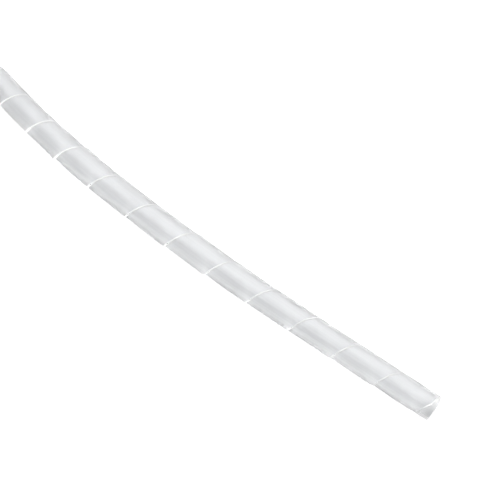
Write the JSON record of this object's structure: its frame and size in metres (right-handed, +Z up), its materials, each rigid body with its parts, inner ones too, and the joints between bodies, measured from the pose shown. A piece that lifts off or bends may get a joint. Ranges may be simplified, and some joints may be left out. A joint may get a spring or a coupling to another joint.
{
  "type": "spiral cable wrap",
  "caption": "Flexible translucent plastic tube slit along a left-handed helix, lying loose with its far length wound into a flat round coil; it winds round a bundle of cables to hold and guard it.",
  "frame": {"origin": "on the floor, straight below the centre of the free end's cut face", "axes": "+Z up; +X along the laid length, from the coil towards the free end; the free end itself points 20 degrees from +X towards -Y"},
  "size_m": [0.3347, 0.1406, 0.0105],
  "materials": {
    "natural_polyethylene": "satin, milky translucent, uncoloured"
  },
  "bodies": {
    "root": {"spiral_wrap": "natural_polyethylene"}
  },
  "joints": []
}
